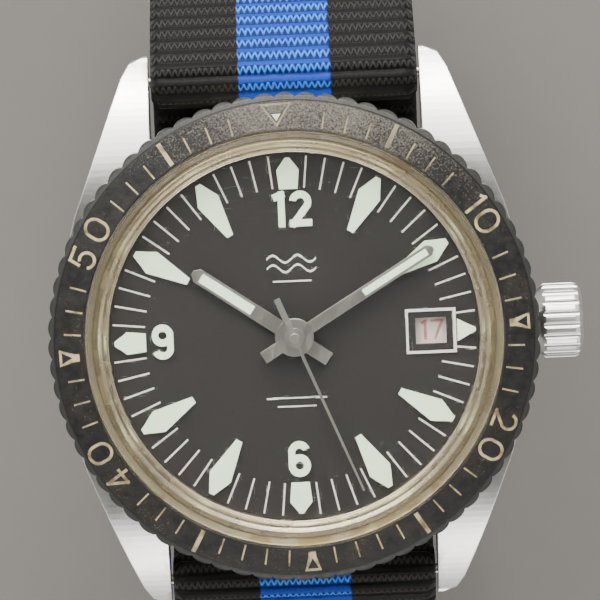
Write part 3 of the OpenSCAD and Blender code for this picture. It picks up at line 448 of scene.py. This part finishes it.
def rubber():
    """Black rubber of the gaskets."""
    p = Paint("rubber")
    tone = p.noise(3000, 4)
    p.colour(p.mix(tone, (0.018, 0.018, 0.018), (0.035, 0.033, 0.032)))
    p.rough(p.fit(tone, 0, 1, 0.6, 0.85))
    p.bump(tone, 0.01 * MM, 0.5)
    return p.material


SLOT_PAINTS = [steel_polished, steel_brushed, bezel_black, engraving_gold, lume, acrylic, ring_gold,
               dial_dark, print_white, date_disc, date_red, hand_steel, brass, ruby, blued_steel, rubber]


def dress_cad_nodes():
    """Gives every CAD node the material of its slot."""
    made = {paint.__name__: paint() for paint in SLOT_PAINTS}
    for name, piece in NODES.items():
        material = made.get(SLOT_OF[name])
        if material is None:
            continue
        piece.data.materials.clear()
        piece.data.materials.append(material)


# ---------- Strap: one woven band, from its fold at the buckle pin round to the tail's tip ----------

RIB_PITCH = 1.34 * MM             # length of one cross rib with its row of loops, along the outer face
LOOP_PITCH = 0.455 * MM           # width of one loop of the weave
STEPS_PER_RIB = 12
ACROSS_STEP = 0.60 * MM
RIB_HEIGHT = 0.24 * MM
LOOPS_FROM = 0.48                 # share of the pitch where the loops start
STRIPE_HALF = 3.375 * MM          # half the width of the blue stripe
LAYER_GAP = 0.15 * MM
BAR_GAP = 0.06 * MM
LEAN = 48.0                       # slope of the strap where it leaves a spring bar, in degrees
SIDE_BEND = 32.0 * MM
FLAT_HALF = 10.0 * MM
DIP = 8.0                         # slope of the tail where it dips under the buckle pin, in degrees
DIP_BEND = 10.0 * MM
FOLD_RUN = 9.0 * MM               # the fold at the pin: a flat run, a bend, a straight rise
FOLD_BEND = 6.0 * MM
FOLD_SLOPE = 12.0
FOLD_RISE = 3.2 * MM
PIN_GAP = 0.05 * MM
CORNER_GAP = 0.6 * MM             # inside radius where the strap turns under the case
TIP_LENGTH = 7.0 * MM
TAIL_PAST_BENDS = 8.4 * MM
HOLES = 6                         # adjusting holes in the tail
HOLE_FROM_TIP = 11.0 * MM
HOLE_PITCH = 6.0 * MM
HOLE_WIDE = 0.95 * MM             # half axes of a hole
HOLE_LONG = 1.35 * MM
HOLE_PAST = 0.06 * MM             # how far a hole's cutter stands out of the band
TONGUE_GAP = 0.2 * MM


def strap_route():
    """The band's centre line in Y and Z as (start, heading, bends), and its thickness.
    A bend is (radius, turn in degrees), or (length, 0) for a straight run."""
    bar_low, bar_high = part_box("spring_bars")
    pin_low, pin_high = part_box("buckle_pin")
    strap_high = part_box("strap")[1]
    bar_r = (bar_high[2] - bar_low[2]) / 2
    bar_y = bar_high[1] - bar_r
    bar_z = (bar_high[2] + bar_low[2]) / 2
    pin_r = (pin_high[2] - pin_low[2]) / 2
    pin_y, pin_z = (pin_high[1] + pin_low[1]) / 2, (pin_high[2] + pin_low[2]) / 2
    thick = strap_high[2] - bar_z - bar_r - BAR_GAP
    layer = thick + LAYER_GAP
    wrap = pin_r + PIN_GAP + thick / 2
    over_bar = bar_r + BAR_GAP + thick / 2
    corner = thick / 2 + CORNER_GAP
    under_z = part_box("case_back")[0][2] - LAYER_GAP - thick / 2
    flat_z = pin_z - wrap
    sin_lean, cos_lean = math.sin(math.radians(LEAN)), math.cos(math.radians(LEAN))
    side_y = bar_y + over_bar * sin_lean + SIDE_BEND * (1 - sin_lean)
    low_bend = side_y - FLAT_HALF
    side_run = bar_z + over_bar * cos_lean - SIDE_BEND * cos_lean - flat_z - low_bend
    drop = bar_z - under_z - corner
    dip = math.radians(DIP)
    dip_run = (layer - 2 * DIP_BEND * (1 - math.cos(dip))) / math.sin(dip)
    dip_y = 2 * DIP_BEND * math.sin(dip) + dip_run * math.cos(dip)
    half = [(SIDE_BEND, 90 - LEAN), (over_bar, 90 + LEAN), (drop, 0), (corner, -90)]
    fold = [(FOLD_RUN, 0), (FOLD_BEND, FOLD_SLOPE), (FOLD_RISE, 0), (wrap, 180 - FOLD_SLOPE)]
    main = [(FLAT_HALF - pin_y, 0), (low_bend, 90), (side_run, 0), *half,
            (2 * (bar_y - over_bar - corner), 0), *half[::-1], (side_run, 0), (low_bend, 90)]
    outer_bend = SIDE_BEND + layer
    tail = [(DIP_BEND, -DIP), (dip_run, 0), (DIP_BEND, DIP), (2 * FLAT_HALF - dip_y, 0),
            (low_bend + layer, 90), (side_run, 0), (outer_bend, math.degrees(TAIL_PAST_BENDS / outer_bend))]
    # The fold is walked backwards from the pin to find where the band starts
    back = walk([(r, -turn) for r, turn in fold[::-1]], (pin_y, flat_z), 180.0, 1.0)
    start = (back[0][-1], back[1][-1])
    return start, 180.0, fold + main + tail, thick


def walk(bends, start, heading, step, outer=0.0):
    """Follows the bends from start and returns y, z, heading and length at points step apart.
    The length is that of a line drawn outside the route by outer."""
    y, z, h, s = start[0], start[1], math.radians(heading), 0.0
    out = [(y, z, h, s)]
    for first, turn in bends:
        a = math.radians(turn)
        length = (first * abs(a) if turn else first) + outer * a
        n = max(1, round(length / step)) if step < length else (12 if turn else 1)
        for _ in range(n):
            chord = 2 * first * math.sin(abs(a) / n / 2) if turn else length / n
            y += chord * math.cos(h + a / n / 2)
            z += chord * math.sin(h + a / n / 2)
            h += a / n
            s += length / n
            out.append((y, z, h, s))
    return np.array(out).T


def mesh_piece(name, points, faces, smooth=True):
    """A new object from points and faces."""
    mesh = bpy.data.meshes.new(name)
    mesh.from_pydata([tuple(p) for p in points], [], faces)
    mesh.validate()
    if smooth:
        mesh.polygons.foreach_set("use_smooth", [True] * len(mesh.polygons))
    piece = bpy.data.objects.new(name, mesh)
    bpy.context.scene.collection.objects.link(piece)
    return piece


def rib_relief(s):
    """Height of the weave: one rounded cross rib in each pitch."""
    return RIB_HEIGHT * np.abs(np.sin(np.pi * s / RIB_PITCH)) ** 0.8


def strap_band():
    """The woven band: rings of points along the route, with ribs and holes."""
    start, heading, bends, thick = strap_route()
    y, z, h, s = walk(bends, start, heading, RIB_PITCH / STEPS_PER_RIB, thick / 2)
    half_wide = size("strap").x / 2
    half_thick = thick / 2 - RIB_HEIGHT
    n_across = 2 * round(half_wide / ACROSS_STEP) + 1
    share = np.linspace(-1, 1, n_across)
    tip = np.clip((s - (s[-1] - TIP_LENGTH)) / TIP_LENGTH, 0, 1)
    narrow = np.sqrt(np.clip(1 - (0.985 * tip) ** 2.6, 0, 1))
    x = share[None, :] * half_wide * narrow[:, None]
    rim = np.clip(1 - np.abs(share) ** 40, 0, 1) ** 0.5
    rings = []
    for side in (-1, 1):
        rise = (half_thick + rib_relief(s)[:, None]) * rim[None, :]
        yy = y[:, None] + side * rise * np.cos(h + np.pi / 2)[:, None]
        zz = z[:, None] + side * rise * np.sin(h + np.pi / 2)[:, None]
        grid = np.stack([x, yy, zz], axis=2)
        rings.append(grid if side < 0 else grid[:, ::-1][:, 1:-1])
    ring = np.concatenate(rings, axis=1)
    rows, cols = ring.shape[:2]
    index = np.arange(rows * cols).reshape(rows, cols)
    nxt = np.roll(index, -1, axis=1)
    quads = np.stack([index[:-1], nxt[:-1], nxt[1:], index[1:]], axis=2).reshape(-1, 4)
    faces = quads.tolist() + [index[0][::-1].tolist(), index[-1].tolist()]
    piece = mesh_piece("strap_band", ring.reshape(-1, 3), faces)
    weave = piece.data.uv_layers.new(name="weave")
    corner = np.empty(len(piece.data.loops), dtype=np.int32)
    piece.data.loops.foreach_get("vertex_index", corner)
    where = np.stack([ring[..., 0].ravel() / LOOP_PITCH, np.repeat(s / RIB_PITCH, cols)], axis=1)
    weave.data.foreach_set("uv", where[corner].ravel())
    piece.data.materials.append(strap_weave())
    cut_band(piece, band_cutter(y, z, h, s, thick))
    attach(piece, BODY_OF["strap"])
    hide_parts("strap")
    return piece


def prism(outline, centre, first, second, reach):
    """Points and faces of a closed prism on an outline of pairs along first and second."""
    normal = first.cross(second)
    ends = []
    for side in (-reach, reach):
        ends += [centre + a * first + b * second + side * normal for a, b in outline]
    n = len(outline)
    faces = [list(range(n))[::-1], list(range(n, 2 * n))]
    faces += [[i, (i + 1) % n, n + (i + 1) % n, n + i] for i in range(n)]
    return ends, faces


def band_cutter(y, z, h, s, thick):
    """The slot that the tongue passes through and the row of adjusting holes in the tail."""
    outline = [(2.0, -2.05), (2.0, 2.05), (-4.0, 2.05), (-4.0, -0.55), (-6.2, -0.55), (-6.2, -3.75),
               (-1.8, -3.75), (-1.8, -2.05)]
    slot = [(a * MM, b * MM) for a, b in outline[::-1]]
    half = size("buckle_tongue").x / 2 + TONGUE_GAP
    shapes = [prism(slot, middle("buckle_pin"), Vector((0, 1, 0)), Vector((0, 0, 1)), half)]
    turns = np.linspace(0, 2 * math.pi, 24, endpoint=False)
    oval = [(HOLE_WIDE * math.cos(a), HOLE_LONG * math.sin(a)) for a in turns]
    for k in range(HOLES):
        i = int(np.searchsorted(s, s[-1] - HOLE_FROM_TIP - k * HOLE_PITCH))
        along = Vector((0, math.cos(h[i]), math.sin(h[i])))
        centre = Vector((0, y[i], z[i]))
        shapes.append(prism(oval, centre, Vector((1, 0, 0)), along, thick / 2 + HOLE_PAST))
    points, faces = [], []
    for ends, sides in shapes:
        faces += [[len(points) + i for i in f] for f in sides]
        points += ends
    return mesh_piece("band_cutter", points, faces, smooth=False)


def cut_band(piece, cutter):
    """Takes the cutter out of the piece and removes the cutter."""
    cut = piece.modifiers.new("holes", "BOOLEAN")
    cut.operation = "DIFFERENCE"
    cut.solver = "EXACT"
    cut.object = cutter
    graph = bpy.context.evaluated_depsgraph_get()
    done = bpy.data.meshes.new_from_object(piece.evaluated_get(graph))
    piece.modifiers.remove(cut)
    plain = piece.data
    piece.data = done
    done.name = "strap_band"
    bpy.data.meshes.remove(plain)
    bpy.data.objects.remove(cutter)


def strap_weave():
    """Nylon yarn: a smooth rib, then a row of pointed loops on its flank, black with a blue stripe; the
    loops are lighter as painted highlight, and the ribs and gutters darker as painted shade.
    """
    p = Paint("strap_weave", Sheen_Weight=0.08, Sheen_Roughness=0.35, Specular_IOR_Level=0.16)
    p.bsdf.inputs["Sheen Tint"].default_value = (0.80, 0.80, 0.78, 1)
    uv = p.node("ShaderNodeUVMap", uv_map="weave").outputs[0]
    parts = p.node("ShaderNodeSeparateXYZ")
    p.put(parts.inputs[0], uv)
    across, along = parts.outputs[0], parts.outputs[1]
    jitter = p.math("MULTIPLY", p.math("SUBTRACT", p.noise(1500, 2), 0.5), 0.22)
    phase = p.math("FRACT", p.math("ADD", along, jitter))
    tri = p.math("FRACT", p.math("ADD", across, p.math("MULTIPLY", jitter, 1.2)))
    tri = p.math("MULTIPLY", p.math("ABSOLUTE", p.math("SUBTRACT", tri, 0.5)), 2.0)
    climb = p.fit(phase, LOOPS_FROM, 0.90)
    leg = p.fit(p.math("ABSOLUTE", p.math("SUBTRACT", tri, climb)), 0.20, 0.52, 1.0, 0.0)
    in_row = p.fit(phase, LOOPS_FROM - 0.05, LOOPS_FROM + 0.05)
    # Painted shade: the colour falls to the darkest yarn tone in the gutters between ribs; the same mask
    # lowers the bump there.
    gutter_shade = p.fit(p.math("ABSOLUTE", p.math("SUBTRACT", phase, 0.5)), 0.36, 0.47, 1.0, 0.12)
    loop = p.math("MULTIPLY", p.math("MULTIPLY", leg, in_row), gutter_shade)
    rib = p.math("MULTIPLY", p.math("SUBTRACT", 1.0, in_row), gutter_shade)
    fibre = p.noise(9000, 3, (1, 0.5, 0.5))
    twist = p.fit(fibre, 0.3, 0.7, 0.55, 1.0)
    x = p.math("ADD", p.axes()[0], p.math("MULTIPLY", p.math("SUBTRACT", tri, 0.5), 0.14 * MM))
    x = p.math("ADD", x, p.math("MULTIPLY", p.math("SUBTRACT", p.noise(900, 2), 0.5), 0.35 * MM))
    in_blue = p.fit(p.math("ABSOLUTE", x), STRIPE_HALF - 0.07 * MM, STRIPE_HALF + 0.07 * MM, 1.0, 0.0)
    # Lit and shaded copies of one blue and one black yarn: painted highlight on the loops, painted shade on
    # the ribs and in the gutters.
    blue_painted_shade = p.mix(p.math("MULTIPLY", rib, twist), (0.0015, 0.010, 0.11), (0.007, 0.055, 0.44))
    blue = p.mix(p.math("MULTIPLY", loop, twist), blue_painted_shade, (0.035, 0.26, 0.92))
    black_painted_shade = p.mix(p.math("MULTIPLY", rib, twist), (0.0016, 0.0016, 0.0017), (0.0065, 0.0064, 0.0062))
    black = p.mix(p.math("MULTIPLY", loop, twist), black_painted_shade, (0.031, 0.030, 0.028))
    p.colour(p.mix(in_blue, black, blue))
    p.rough(p.fit(fibre, 0.3, 0.7, 0.48, 0.70))
    p.bump(p.math("ADD", p.math("MAXIMUM", loop, rib), p.math("MULTIPLY", fibre, 0.5)), 0.06 * MM, 0.9)
    return p.material


# ---------- Floor ----------

def floor_shade():
    """Plain matt warm grey."""
    p = Paint("floor_shade")
    p.colour(p.mix(p.noise(4, 3), (0.160, 0.154, 0.143), (0.176, 0.169, 0.157)))
    p.rough(p.fit(p.noise(300, 3), 0.3, 0.7, 0.75, 0.9))
    return p.material


def make_floor():
    """A wide flat sheet at the height of the strap's lowest run."""
    reach = 1.5
    corners = [(-reach, -reach), (reach, -reach), (reach, reach), (-reach, reach)]
    piece = mesh_piece("floor", [(x, y, FLOOR_Z) for x, y in corners], [(0, 1, 2, 3)], smooth=False)
    piece.data.materials.append(floor_shade())


make_camera()
make_lights()
make_floor()
dress_cad_nodes()
strap_band()
